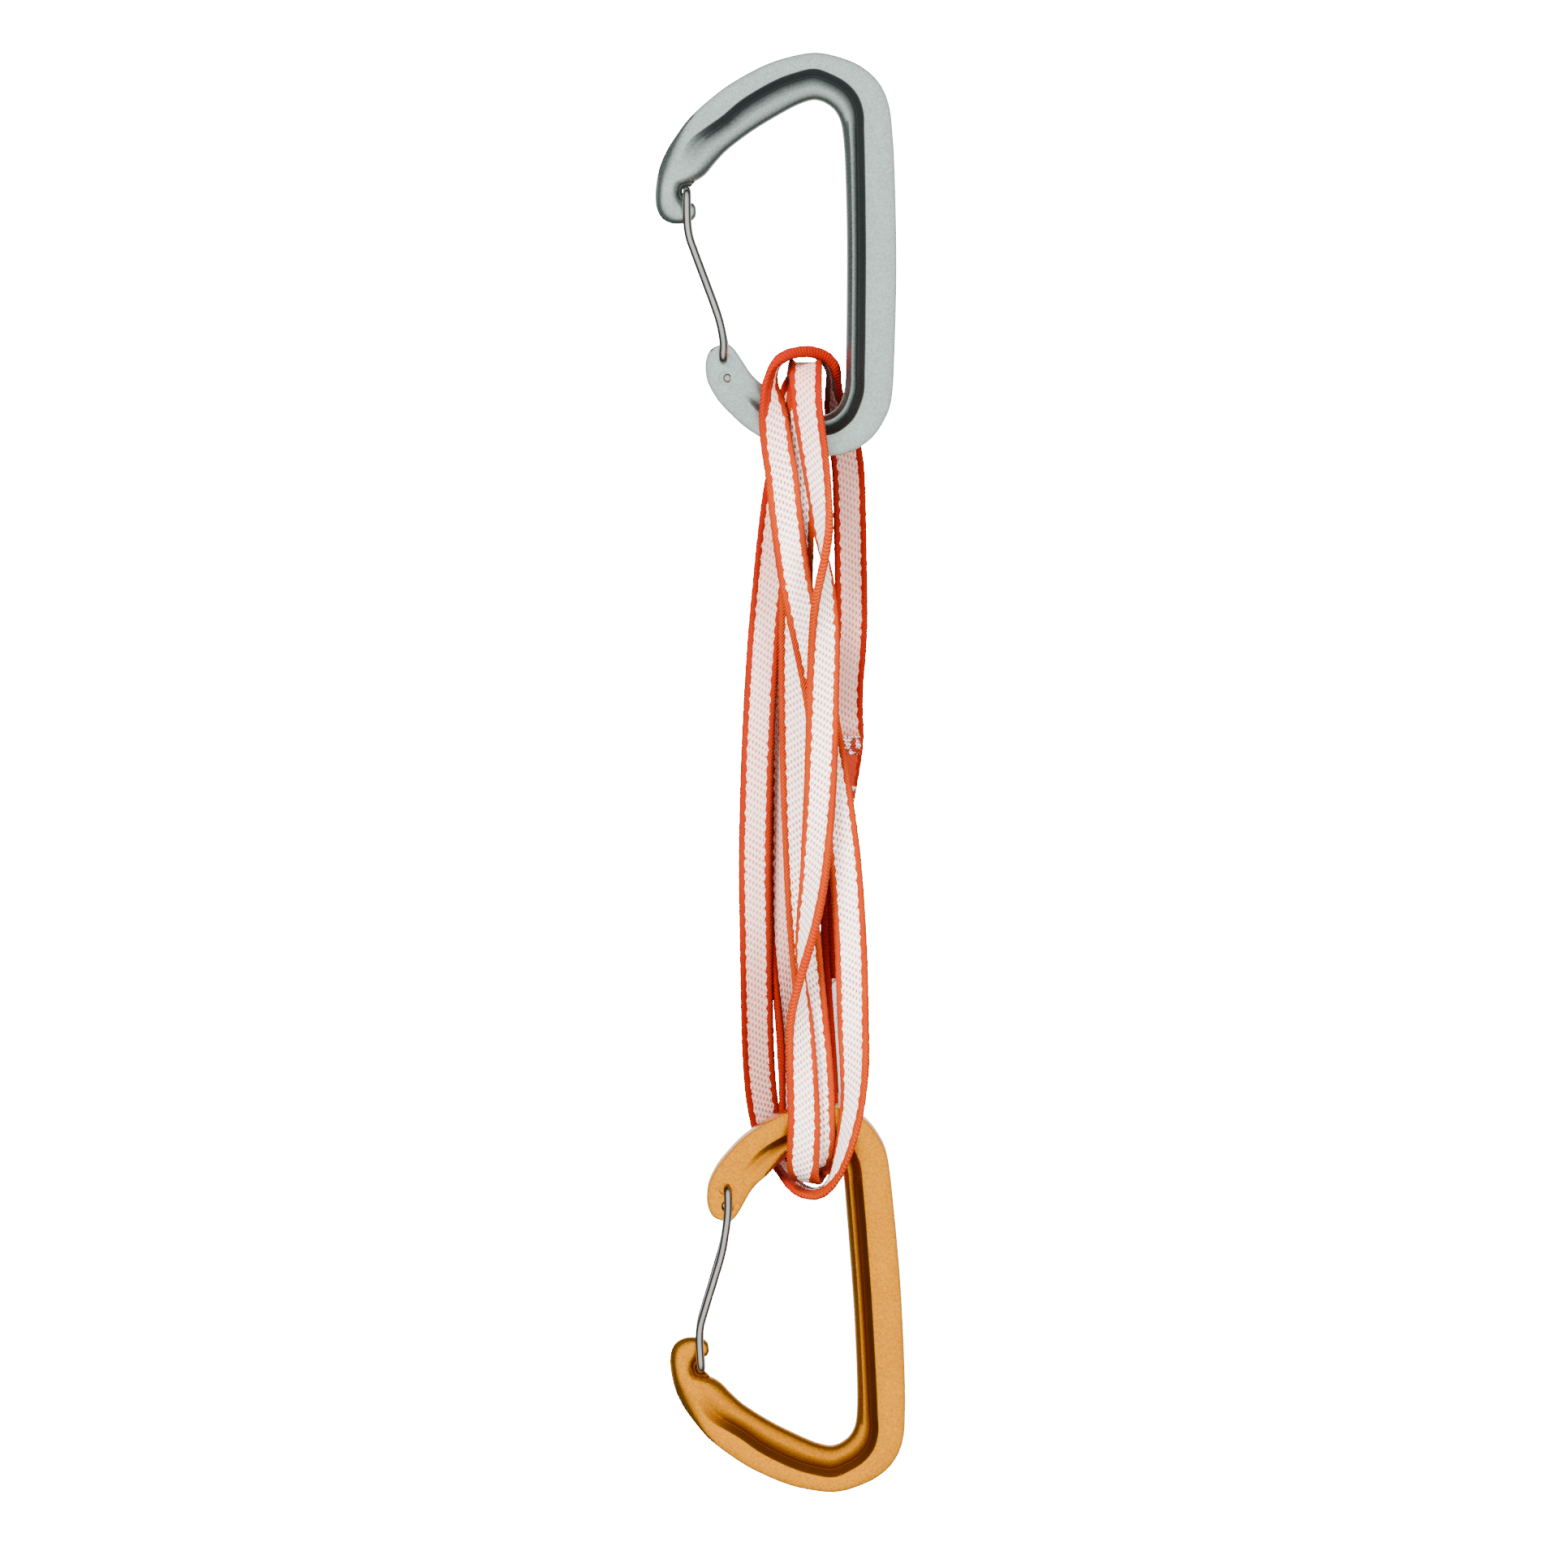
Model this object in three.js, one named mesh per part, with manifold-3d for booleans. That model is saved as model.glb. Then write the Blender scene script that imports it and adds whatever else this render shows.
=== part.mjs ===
// Climbing quickdraw: two hot-forged wiregate carabiners joined by a sewn
// sling that is tripled between them. Units mm, +Z up, front faces -Y.
// Origin: the point in the top carabiner's rope basket that the draw hangs from.
import * as THREE from 'three';
import Module from 'manifold-3d';

const wasm = await Module();
wasm.setup();
const { Manifold, Mesh: SolidMesh } = wasm;

// ---------- driving dimensions ----------
const RAIL_HALF = 3.5;        // half thickness of the flat outer rail
const GROOVE_HALF = 1.7;      // half thickness in the groove beside it
const CROWN_HALF = 2.6;       // half thickness of the round inner rail
const GROOVE_WALL = 1.7;      // run of the steep wall between rail and groove
const EDGE = 0.8;             // chamfer along the rail's outer edges
const NOSE_HALF = 3.1;
const LIP_HALF = 1.7;         // hook under the wire's cross piece
const WIRE_R = 1.0;
const HOLE_R = 1.8;
const HOLE_SHIFT = 0.7;       // wire ends sit off-centre in their holes when shut
const PIVOT = [-21.1, -64.0]; // x, z of the gate axis
const HOLE_ARM = 2.2;         // each hole's distance from the gate axis
const LEG_AT_BOSS = 4.85;     // |y| of the wire legs beside the boss
const LEG_AT_NOSE = 3.1;      // |y| of the wire legs beside the hook
const BOTTOM_AT = [4.4, 0, -327.9];
const BOTTOM_TILT = -4;       // degrees about Y, after turning it upside down
const WEB_W = 8.0;
const WEB_EDGE = 0.85;        // half thickness at the rolled edges
const WEB_BODY = 0.7;         // half thickness between them
const CUT_Z = -140;           // plane where the sling's two turning halves meet
const CUT_GAP = 0.3;
const SEAM_TOP = -149;
const SEAM_END = -212;
const LABEL_TOP = -213.4;
const LABEL_END = -241;

const rad = (deg) => deg * Math.PI / 180;

// ---------- colours ----------
const grey = () => new THREE.MeshStandardMaterial({ color: 0xaeb4b2, metalness: 0.85, roughness: 0.45 });
const gold = () => new THREE.MeshStandardMaterial({ color: 0xe98a12, metalness: 0.8, roughness: 0.4 });
const steel = () => new THREE.MeshStandardMaterial({ color: 0x8f8b82, metalness: 1.0, roughness: 0.3 });
const web = (color) => new THREE.MeshStandardMaterial({ color, metalness: 0, roughness: 0.85 });

// ---------- curve and mesh helpers ----------
function blendRow(p0, p1, p2, p3, t) {
  return p1.map((_, i) => 0.5 * (2 * p1[i] + (p2[i] - p0[i]) * t
    + (2 * p0[i] - 5 * p1[i] + 4 * p2[i] - p3[i]) * t * t
    + (3 * p1[i] - p0[i] - 3 * p2[i] + p3[i]) * t * t * t));
}

// Smooth rows through the control rows; steps(i) is how many to cut span i into.
function smoothRows(rows, steps) {
  const out = [];
  for (let i = 0; i < rows.length - 1; i++) {
    const a = rows[Math.max(i - 1, 0)];
    const d = rows[Math.min(i + 2, rows.length - 1)];
    const n = steps(i, rows[i], rows[i + 1]);
    for (let k = 0; k < n; k++) out.push(blendRow(a, rows[i], rows[i + 1], d, k / n));
  }
  out.push(rows[rows.length - 1].slice());
  return out;
}

// Closed solid from equal rings of points, each end closed by a fan about its centre.
function loft(rings) {
  const n = rings[0].length;
  const last = (rings.length - 1) * n;
  const positions = rings.flat(2);
  const index = [];
  for (let s = 0; s < rings.length - 1; s++) {
    for (let k = 0; k < n; k++) {
      const a = s * n + k;
      const b = s * n + (k + 1) % n;
      index.push(a, b, b + n, a, b + n, a + n);
    }
  }
  for (const ring of [rings[0], rings[rings.length - 1]]) {
    positions.push(...[0, 1, 2].map((i) => ring.reduce((sum, p) => sum + p[i], 0) / n));
  }
  for (let k = 0; k < n; k++) {
    const next = (k + 1) % n;
    index.push(last + n, next, k, last + n + 1, last + k, last + next);
  }
  return faceOut(positions, index);
}

function faceOut(positions, index) {
  let volume = 0;
  for (let i = 0; i < index.length; i += 3) {
    const [a, b, c] = [0, 1, 2].map((j) => new THREE.Vector3().fromArray(positions, index[i + j] * 3));
    volume += a.dot(b.cross(c));
  }
  if (volume < 0) for (let i = 0; i < index.length; i += 3) {
    [index[i + 1], index[i + 2]] = [index[i + 2], index[i + 1]];
  }
  const g = new THREE.BufferGeometry();
  g.setAttribute('position', new THREE.Float32BufferAttribute(positions, 3));
  g.setIndex(index);
  return g;
}

function toSolid(g) {
  return new Manifold(new SolidMesh({
    numProp: 3,
    vertProperties: new Float32Array(g.attributes.position.array),
    triVerts: new Uint32Array(g.index.array),
  }));
}

function fromSolid(solid) {
  const m = solid.getMesh();
  const g = new THREE.BufferGeometry();
  g.setAttribute('position', new THREE.Float32BufferAttribute(Array.from(m.vertProperties), 3));
  g.setIndex(Array.from(m.triVerts));
  return g;
}

// ---------- carabiner frame ----------
// outer x, z | inner x, z | shape (0 boss, 1 grooved rail, 2 round nose) | flat width | half thickness
const FRAME_ROWS = [
  [-22.2, -58.1, -20.3, -58.0, 0, 1.2, 3.5],
  [-24.6, -59.3, -19.0, -59.1, 0, 3.4, 3.5],
  [-25.7, -61.6, -17.5, -61.2, 0, 4.6, 3.5],
  [-25.9, -64.4, -16.2, -63.2, 0, 5.2, 3.5],
  [-25.2, -67.6, -14.8, -65.2, 0, 5.4, 3.5],
  [-23.0, -71.4, -13.0, -67.0, 0, 5.2, 3.5],
  [-19.9, -74.8, -11.0, -68.4, 0.15, 5.0, 3.5],
  [-15.8, -78.4, -8.5, -70.4, 0.5, 4.8, 3.5],
  [-10.0, -81.8, -5.6, -72.5, 0.85, 4.9, 3.5],
  [-3.5, -84.2, -2.0, -74.3, 1, 5.0, 3.5],
  [3.3, -84.9, 2.0, -75.0, 1, 5.0, 3.5],
  [8.6, -84.0, 4.5, -74.3, 1, 5.6, 3.5],
  [13.8, -80.9, 6.4, -72.3, 1, 6.4, 3.5],
  [17.3, -76.0, 7.4, -69.6, 1, 6.9, 3.5],
  [19.0, -70.6, 7.8, -66.4, 1, 7.1, 3.5],
  [19.6, -60.0, 7.9, -59.8, 1, 7.1, 3.5],
  [20.0, -43.0, 8.05, -43.0, 1, 7.4, 3.5],
  [19.9, -30.0, 8.0, -30.0, 1, 7.3, 3.5],
  [19.5, -16.0, 7.6, -15.8, 1, 7.1, 3.5],
  [19.0, -8.0, 7.1, -8.6, 1, 6.8, 3.5],
  [18.2, -1.5, 6.4, -4.8, 1, 6.4, 3.5],
  [16.0, 3.7, 5.0, -2.3, 1, 6.0, 3.5],
  [12.0, 7.6, 3.1, -0.8, 1, 5.4, 3.5],
  [6.7, 10.0, 1.5, -0.15, 1, 4.6, 3.5],
  [0.5, 11.2, -0.3, 0.0, 1, 3.9, 3.5],
  [-6.2, 10.1, -3.2, -0.9, 1, 4.1, 3.5],
  [-12.2, 8.0, -7.0, -2.8, 1, 4.4, 3.5],
  [-19.6, 4.0, -13.0, -6.3, 1, 4.7, 3.5],
  [-25.0, 0.0, -17.5, -9.4, 1, 5.0, 3.5],
  [-29.6, -4.2, -21.0, -12.2, 1.1, 4.3, 3.5],
  [-32.6, -8.0, -23.6, -15.0, 1.45, 3.0, 3.4],
  [-35.2, -12.0, -26.0, -17.8, 1.85, 3.0, 3.3],
  [-36.9, -16.0, -28.6, -19.4, 2, 3.0, 3.2],
  [-37.6, -19.3, -31.5, -20.2, 2, 3.0, 3.1],
  [-37.9, -22.6, -32.0, -21.9, 2, 3.0, 3.1],
  [-37.6, -25.6, -31.7, -23.1, 2, 3.0, 2.8],
  [-36.3, -28.0, -30.9, -23.7, 2, 3.0, 2.3],
  [-33.9, -29.2, -30.0, -24.0, 2, 2.4, 1.9],
  [-31.2, -29.2, -29.2, -24.2, 2, 2.0, 1.7],
  [-29.2, -28.6, -28.5, -24.6, 2, 1.8, 1.6],
  [-28.2, -27.6, -28.1, -25.5, 2, 0.8, 1.1],
];

function bossProfile(w, h) {
  const e = Math.min(EDGE, w * 0.2);
  return [[0, h - e], [e, h], [w * 0.45, h], [w * 0.6, h], [w * 0.75, h], [w - e, h], [w, h - e], [w, 0]];
}

function railProfile(w, flat, h) {
  const foot = flat + GROOVE_WALL;
  return [[0, h - EDGE], [EDGE, h], [flat, h], [foot, GROOVE_HALF], [(foot + w) / 2 - 0.3, CROWN_HALF],
    [w - 0.8, CROWN_HALF - 0.5], [w - 0.2, 1.15], [w, 0]];
}

function noseProfile(w, h) {
  return [[0, h * 0.35], [w * 0.1, h * 0.75], [w * 0.28, h * 0.97], [w * 0.45, h], [w * 0.62, h * 0.97],
    [w * 0.82, h * 0.78], [w * 0.96, h * 0.42], [w, 0]];
}

function frameProfile(shape, w, flat, h) {
  const rail = railProfile(w, Math.min(flat, w - 4.6), h);
  const other = shape < 1 ? bossProfile(w, h) : noseProfile(w, h);
  if (shape <= 0 || shape >= 2) return other;
  const t = Math.abs(shape - 1);
  return rail.map((p, i) => [p[0] + (other[i][0] - p[0]) * t, p[1] + (other[i][1] - p[1]) * t]);
}

function frameRing([ox, oz, ix, iz, shape, flat, half]) {
  const w = Math.hypot(ix - ox, iz - oz);
  const dx = (ix - ox) / w;
  const dz = (iz - oz) / w;
  const side = frameProfile(Math.min(Math.max(shape, 0), 2), w, flat, half);
  const at = ([s, y], sign) => [ox + dx * s, sign * y, oz + dz * s];
  const front = side.map((p) => at(p, -1));
  const back = side.slice(0, -1).reverse().map((p) => at(p, 1));
  return [...front, ...back];
}

function buildFrame() {
  const rows = smoothRows(FRAME_ROWS, (i, a, b) => {
    const run = Math.hypot(b[0] - a[0], b[1] - a[1]);
    const straight = a[1] > -62 && a[1] < -8 && a[0] > 15;
    return straight || run < 4.8 ? 1 : 2;
  });
  let solid = toSolid(loft(rows.map(frameRing)));
  for (const sign of [1, -1]) {
    const drill = Manifold.cylinder(20, HOLE_R, HOLE_R, 24, true).rotate([90, 5, 0]);
    solid = solid.subtract(drill.translate([PIVOT[0] + sign * 0.2, 0, PIVOT[1] + sign * HOLE_ARM]));
  }
  return fromSolid(solid);
}

// ---------- wire gate ----------
function gatePath() {
  const [px, pz] = PIVOT;
  const upper = [px + 0.2 - HOLE_SHIFT, pz + HOLE_ARM];
  const lower = [px - 0.2 + HOLE_SHIFT, pz - HOLE_ARM];
  const b = LEG_AT_BOSS;
  const n = LEG_AT_NOSE;
  return [
    [upper[0], 2.4, upper[1]], [upper[0], -b + 1.6, upper[1]], [upper[0], -b + 0.4, upper[1] + 0.35],
    [upper[0], -b, upper[1] + 1.6], [-21.5, -b, -58], [-22.1, -b, -54], [-23.3, -b + 0.1, -50],
    [-25.5, -4.3, -44], [-28.5, -3.5, -36], [-29.7, -3.2, -32.5], [-30.2, -n, -29], [-30.3, -n, -23.4],
    [-30.3, -n + 0.4, -22.0], [-30.3, -n + 1.5, -21.5], [-30.3, n - 1.5, -21.5], [-30.3, n - 0.4, -22.0],
    [-30.3, n, -23.4], [-30.2, n, -29], [-29.7, 3.2, -32.5], [-28.5, 3.5, -36], [-25.5, 4.3, -44],
    [-23.3, b - 0.1, -50], [-22.0, b, -55], [-21.0, b, -60], [lower[0], b, lower[1] + 1.8],
    [lower[0], b - 0.4, lower[1] + 0.35], [lower[0], b - 1.6, lower[1]], [lower[0], -2.9, lower[1]],
  ];
}

function tubeRings(path, radius, sides) {
  const pts = path.map((p) => new THREE.Vector3(...p));
  const rings = [];
  let side = null;
  pts.forEach((p, i) => {
    const dir = pts[Math.min(i + 1, pts.length - 1)].clone().sub(pts[Math.max(i - 1, 0)]).normalize();
    if (!side) side = new THREE.Vector3(1, 0, 0);
    side = side.clone().projectOnPlane(dir).normalize();
    const up = dir.clone().cross(side);
    rings.push(Array.from({ length: sides }, (_, k) => {
      const t = (k + 0.5) / sides * 2 * Math.PI;
      return p.clone().addScaledVector(side, radius * Math.cos(t))
        .addScaledVector(up, radius * Math.sin(t)).toArray();
    }));
  });
  return rings;
}

function buildGate() {
  return loft(tubeRings(gatePath(), WIRE_R, 10));
}

// ---------- sling ----------
// Centre line rows: x, y, z and the turn of the webbing's width about +Z, degrees.
// Strands are named by where they lie; each bight joins two of them.
const TOP_FRONT_TO_REAR_RIGHT = [
  [1.5, -4.8, -143, 900], [-0.8, -5.2, -131, 900], [-3.0, -6.2, -121, 905], [-4.6, -7.2, -113, 905],
  [-5.9, -8.3, -103.5, 905], [-6.7, -9.0, -97, 905], [-7.6, -9.7, -89, 908], [-8.6, -10.2, -83, 915],
  [-9.3, -10.5, -77, 925], [-9.7, -10.3, -72, 945], [-10.0, -9.5, -68, 965], [-9.3, -8.0, -64.2, 983],
  [-7.2, -5.7, -61.6, 991], [-4.2, -2.9, -60.3, 993], [-1.2, -0.3, -60.0, 993], [1.8, 2.2, -60.7, 995],
  [4.0, 4.4, -62.6, 999], [5.0, 6.4, -65.6, 1005], [5.3, 8.0, -69.6, 1018], [6.0, 8.9, -74.5, 1040],
  [7.4, 8.8, -80.5, 1062], [8.5, 8.1, -87, 1075], [8.9, 7.3, -95, 1080], [9.1, 6.6, -103.5, 1080],
  [9.3, 6.0, -115, 1080], [9.4, 5.8, -125, 1080], [9.0, 5.6, -133, 1080], [8.2, 5.4, -143, 1080],
];
const TOP_CENTRE_TO_REAR = [
  [2.3, -8.2, -143, 549], [2.6, -8.5, -130, 560], [2.6, -9.2, -121, 585], [2.7, -9.9, -114, 610],
  [2.6, -10.5, -108, 635], [2.2, -11.1, -101, 660], [1.2, -11.8, -92, 678], [0.0, -12.4, -83, 688],
  [-1.2, -12.5, -75, 692], [-1.7, -11.2, -69, 697], [-1.8, -7.8, -65.4, 704], [-1.8, -2.9, -63.2, 712],
  [-2.1, 2.2, -63.3, 720], [-2.4, 6.8, -65.6, 720], [-2.6, 9.1, -69.6, 720], [-2.7, 9.5, -76, 720],
  [-3.0, 9.1, -84, 720], [-3.6, 8.0, -97, 718], [-4.4, 6.8, -112, 708], [-5.1, 5.8, -124, 694],
  [-5.9, 5.0, -133, 682], [-6.6, 4.6, -143, 678],
];
const TOP_INNER_TO_REAR_LEFT = [
  [-4.3, -1.1, -143, 720], [-4.3, -1.6, -130, 720], [-4.0, -2.8, -115, 720], [-3.6, -4.4, -100, 720],
  [-3.3, -5.9, -88, 720], [-3.0, -6.8, -79, 720], [-2.7, -6.6, -73, 720], [-2.1, -5.2, -69, 724],
  [-1.8, -2.4, -66.4, 730], [-2.3, 1.4, -65.8, 735], [-3.4, 4.9, -67.4, 732], [-4.4, 6.7, -71, 724],
  [-5.2, 7.0, -77, 720], [-6.4, 6.5, -85, 720], [-8.2, 5.3, -94, 720], [-9.6, 4.0, -105, 720],
  [-10.8, 2.9, -117, 720], [-11.8, 2.3, -128, 720], [-12.8, 2.0, -143, 720],
];
const BOTTOM_SEWN_TO_CENTRE = [
  [8.7, 5.5, -137, 180], [8.2, 5.4, -147, 184], [7.9, 5.4, -153, 203], [7.1, 5.4, -160, 226],
  [5.7, 5.4, -171, 245], [4.2, 5.6, -183, 252], [3.8, 5.8, -193, 255], [3.9, 6.1, -203, 255],
  [4.5, 6.8, -213, 255], [5.2, 8.0, -223, 255], [5.9, 9.2, -233, 255], [6.3, 10.1, -241, 256],
  [6.2, 10.3, -248, 262], [5.0, 9.2, -254.6, 278], [2.6, 6.2, -259.1, 294], [-0.1, 2.1, -261.1, 304],
  [-1.6, -2.8, -261.2, 318], [-2.4, -7.4, -258.5, 340], [-2.3, -10.0, -252.5, 358], [-2.2, -10.8, -246, 370],
  [-2.3, -10.9, -240, 376], [-2.8, -10.7, -231, 385], [-3.2, -10.4, -221, 405], [-3.0, -10.2, -212, 440],
  [-2.2, -9.8, -204, 468], [-1.0, -9.4, -196, 488], [0.2, -9.0, -187, 502], [1.0, -8.6, -177, 516],
  [1.7, -8.3, -165, 530], [2.1, -8.2, -153, 540], [2.4, -8.2, -137, 553],
];
const BOTTOM_REAR_TO_INNER = [
  [-6.2, 4.8, -137, 679], [-6.9, 4.5, -149, 676], [-7.0, 4.3, -164, 678], [-7.0, 4.2, -180, 684],
  [-6.9, 4.3, -194, 702], [-6.6, 5.0, -206, 730], [-6.2, 6.6, -217, 755], [-5.8, 8.2, -227, 768],
  [-5.6, 9.5, -237, 772], [-5.4, 10.0, -246, 770], [-4.9, 9.2, -252.5, 766], [-3.6, 6.5, -257, 762],
  [-2.0, 2.7, -258.7, 758], [-0.6, -1.6, -258.2, 750], [0.8, -5.2, -256.2, 738], [1.5, -6.8, -251, 724],
  [1.4, -7.0, -243, 720], [0.9, -6.5, -233, 720], [-0.2, -5.6, -221, 720], [-1.5, -4.6, -208, 720],
  [-2.6, -3.6, -194, 720], [-3.4, -2.6, -178, 720], [-4.0, -1.7, -160, 720], [-4.3, -1.3, -137, 720],
];
const BOTTOM_REAR_LEFT_TO_FRONT = [
  [-12.4, 2.0, -137, 720], [-13.1, 1.9, -149, 720], [-13.7, 1.8, -164, 720], [-14.1, 1.9, -184, 720],
  [-13.9, 2.6, -202, 720], [-13.6, 4.6, -221, 720], [-13.3, 6.8, -232, 722], [-12.8, 8.7, -240, 726],
  [-12.0, 10.3, -246.5, 736], [-10.9, 11.6, -252, 752], [-9.2, 11.0, -257, 772], [-7.0, 8.4, -261, 790],
  [-4.2, 4.4, -263.8, 800], [-1.0, 0.0, -264.7, 806], [2.2, -3.3, -263.6, 812], [4.8, -6.5, -260.2, 820],
  [6.9, -9.0, -254.6, 832], [8.5, -10.0, -248, 844], [9.7, -9.7, -241, 854], [10.1, -8.8, -232, 868],
  [9.8, -7.8, -222, 880], [9.5, -6.7, -211, 887], [9.1, -5.9, -201, 892], [7.9, -5.2, -184, 898],
  [6.4, -4.8, -172, 900], [4.9, -4.6, -162, 900], [2.9, -4.6, -151, 900], [0.6, -4.8, -137, 900],
];

function webSteps(i, a, b) {
  const run = Math.hypot(b[0] - a[0], b[1] - a[1], b[2] - a[2]);
  const turn = Math.abs(b[3] - a[3]);
  return Math.max(1, Math.round(run / 6), Math.round(turn / 15));
}

// Frames along a strand: centre, tangent, width direction and face normal.
function webFrames(rows) {
  const pts = rows.map((r) => new THREE.Vector3(r[0], r[1], r[2]));
  return rows.map((r, i) => {
    const along = pts[Math.min(i + 1, pts.length - 1)].clone()
      .sub(pts[Math.max(i - 1, 0)]).normalize();
    const across = new THREE.Vector3(Math.cos(rad(r[3])), Math.sin(rad(r[3])), 0)
      .projectOnPlane(along).normalize();
    return { centre: pts[i], along, across, face: along.clone().cross(across) };
  });
}

const WEB_SECTION = [
  [-WEB_W / 2, 0], [-WEB_W / 2 + 0.5, WEB_EDGE], [-WEB_W / 2 + 1.5, WEB_BODY],
  [WEB_W / 2 - 1.5, WEB_BODY], [WEB_W / 2 - 0.5, WEB_EDGE], [WEB_W / 2, 0],
  [WEB_W / 2 - 0.5, -WEB_EDGE], [WEB_W / 2 - 1.5, -WEB_BODY],
  [-WEB_W / 2 + 1.5, -WEB_BODY], [-WEB_W / 2 + 0.5, -WEB_EDGE],
];

function sweep(frames, section, lift = 0) {
  return loft(frames.map((f) => section.map(([w, n]) => f.centre.clone()
    .addScaledVector(f.across, w).addScaledVector(f.face, n + lift).toArray())));
}

// One bight of webbing, trimmed flat at the plane where the two halves turn.
function buildBight(rows, above) {
  const solid = toSolid(sweep(webFrames(smoothRows(rows, webSteps)), WEB_SECTION));
  const keep = above ? [0, 0, 1] : [0, 0, -1];
  const offset = above ? CUT_Z + CUT_GAP / 2 : -(CUT_Z - CUT_GAP / 2);
  return fromSolid(solid.trimByPlane(keep, offset));
}

// Stretch of the sewn strand between two heights, as frames.
function sewnFrames(zTop, zEnd) {
  const rows = smoothRows(BOTTOM_SEWN_TO_CENTRE.slice(0, 12), () => 8);
  const part = rows.filter((r) => r[2] <= zTop && r[2] >= zEnd);
  return webFrames(part.filter((_, i) => i % 3 === 0 || i === part.length - 1));
}

function slab(width, low, high) {
  return [[-width / 2, low], [width / 2, low], [width / 2, high], [-width / 2, high]];
}

function buildTail() {
  return sweep(sewnFrames(SEAM_TOP, SEAM_END), WEB_SECTION, -2 * WEB_EDGE - 0.3);
}

function buildTack(zTop, length) {
  const low = -3 * WEB_EDGE - 0.3 - 0.75;
  return sweep(sewnFrames(zTop, zTop - length), slab(6, low, low + 0.4));
}

function buildLabel() {
  return sweep(sewnFrames(LABEL_TOP, LABEL_END), slab(7, -WEB_EDGE - 0.65, -WEB_EDGE - 0.25));
}

// ---------- assembly ----------
const group = new THREE.Group();
group.name = 'quickdraw';

function add(name, geometry, material, matrix = null) {
  const g = geometry.clone();
  if (matrix) g.applyMatrix4(matrix);
  g.computeVertexNormals();
  const mesh = new THREE.Mesh(g, material);
  mesh.name = name;
  group.add(mesh);
}

const bottomPlace = new THREE.Matrix4().makeTranslation(...BOTTOM_AT)
  .multiply(new THREE.Matrix4().makeRotationY(rad(BOTTOM_TILT)))
  .multiply(new THREE.Matrix4().makeRotationX(Math.PI));

const frame = buildFrame();
const gate = buildGate();
add('top_carabiner_frame', frame, grey());
add('top_wire_gate', gate, steel());
add('bottom_carabiner_frame', frame, gold(), bottomPlace);
add('bottom_wire_gate', gate, steel(), bottomPlace);
add('sling_top_outer_bight', buildBight(TOP_FRONT_TO_REAR_RIGHT, true), web(0xf0602a));
add('sling_top_centre_bight', buildBight(TOP_CENTRE_TO_REAR, true), web(0xf4d9cf));
add('sling_top_inner_bight', buildBight(TOP_INNER_TO_REAR_LEFT, true), web(0xf4d9cf));
add('sling_bottom_sewn_bight', buildBight(BOTTOM_SEWN_TO_CENTRE, false), web(0xf4d9cf));
add('sling_bottom_inner_bight', buildBight(BOTTOM_REAR_TO_INNER, false), web(0xf4d9cf));
add('sling_bottom_outer_bight', buildBight(BOTTOM_REAR_LEFT_TO_FRONT, false), web(0xf0602a));
add('sling_overlap_tail', buildTail(), web(0xe8442a));
[-153, -165, -187, -206].forEach((z, i) => add(`bar_tack_${i + 1}`, buildTack(z, 4), web(0xf6f1ea)));
add('sling_label', buildLabel(), web(0xb9adb2));

export default group;
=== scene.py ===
"""Looks of a climbing quickdraw: two forged wiregate carabiners and a tripled woven sling.
Positions are in millimetres in the row frame and are turned to metres as each mesh is made."""
import math

import bmesh
import bpy
import numpy as np
from mathutils import Euler, Matrix, Vector


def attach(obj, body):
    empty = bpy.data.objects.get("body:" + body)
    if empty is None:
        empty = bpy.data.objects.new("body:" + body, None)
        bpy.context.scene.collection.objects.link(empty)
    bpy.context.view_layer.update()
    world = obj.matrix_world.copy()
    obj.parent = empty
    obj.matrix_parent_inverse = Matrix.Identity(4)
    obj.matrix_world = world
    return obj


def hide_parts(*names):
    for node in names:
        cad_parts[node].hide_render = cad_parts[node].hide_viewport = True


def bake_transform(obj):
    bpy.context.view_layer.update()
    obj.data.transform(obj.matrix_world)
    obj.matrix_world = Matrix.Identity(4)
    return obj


MM = 0.001
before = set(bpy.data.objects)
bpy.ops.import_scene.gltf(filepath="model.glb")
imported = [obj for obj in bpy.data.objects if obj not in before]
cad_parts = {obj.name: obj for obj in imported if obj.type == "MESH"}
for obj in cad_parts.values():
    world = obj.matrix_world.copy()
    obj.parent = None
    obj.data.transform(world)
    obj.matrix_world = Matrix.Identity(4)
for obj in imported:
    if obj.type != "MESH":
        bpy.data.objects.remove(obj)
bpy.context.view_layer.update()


# ---------------------------------------------------------------- camera and light
# A long lens a metre in front and slightly above, as a product on a white sweep is shot.
camera_data = bpy.data.cameras.new("camera")
camera_data.lens = 94.45
camera_data.sensor_width = 36.0
camera = bpy.data.objects.new("camera", camera_data)
camera.location = (-0.007, -0.9962, -0.165 + 0.0872)
camera.rotation_euler = Euler((math.radians(90 - 4.965), 0, 0))
bpy.context.collection.objects.link(camera)
bpy.context.scene.camera = camera


def area_light(name, place, target, wide, high, watts):
    lamp = bpy.data.lights.new(name, "AREA")
    lamp.shape = "RECTANGLE"
    lamp.size = wide
    lamp.size_y = high
    lamp.energy = watts
    holder = bpy.data.objects.new(name, lamp)
    holder.location = place
    holder.rotation_euler = (Vector(target) - Vector(place)).to_track_quat("-Z", "Y").to_euler()
    bpy.context.collection.objects.link(holder)
    # Soft boxes light the cloth; the metal mirrors the room alone.
    holder.visible_glossy = False


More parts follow.
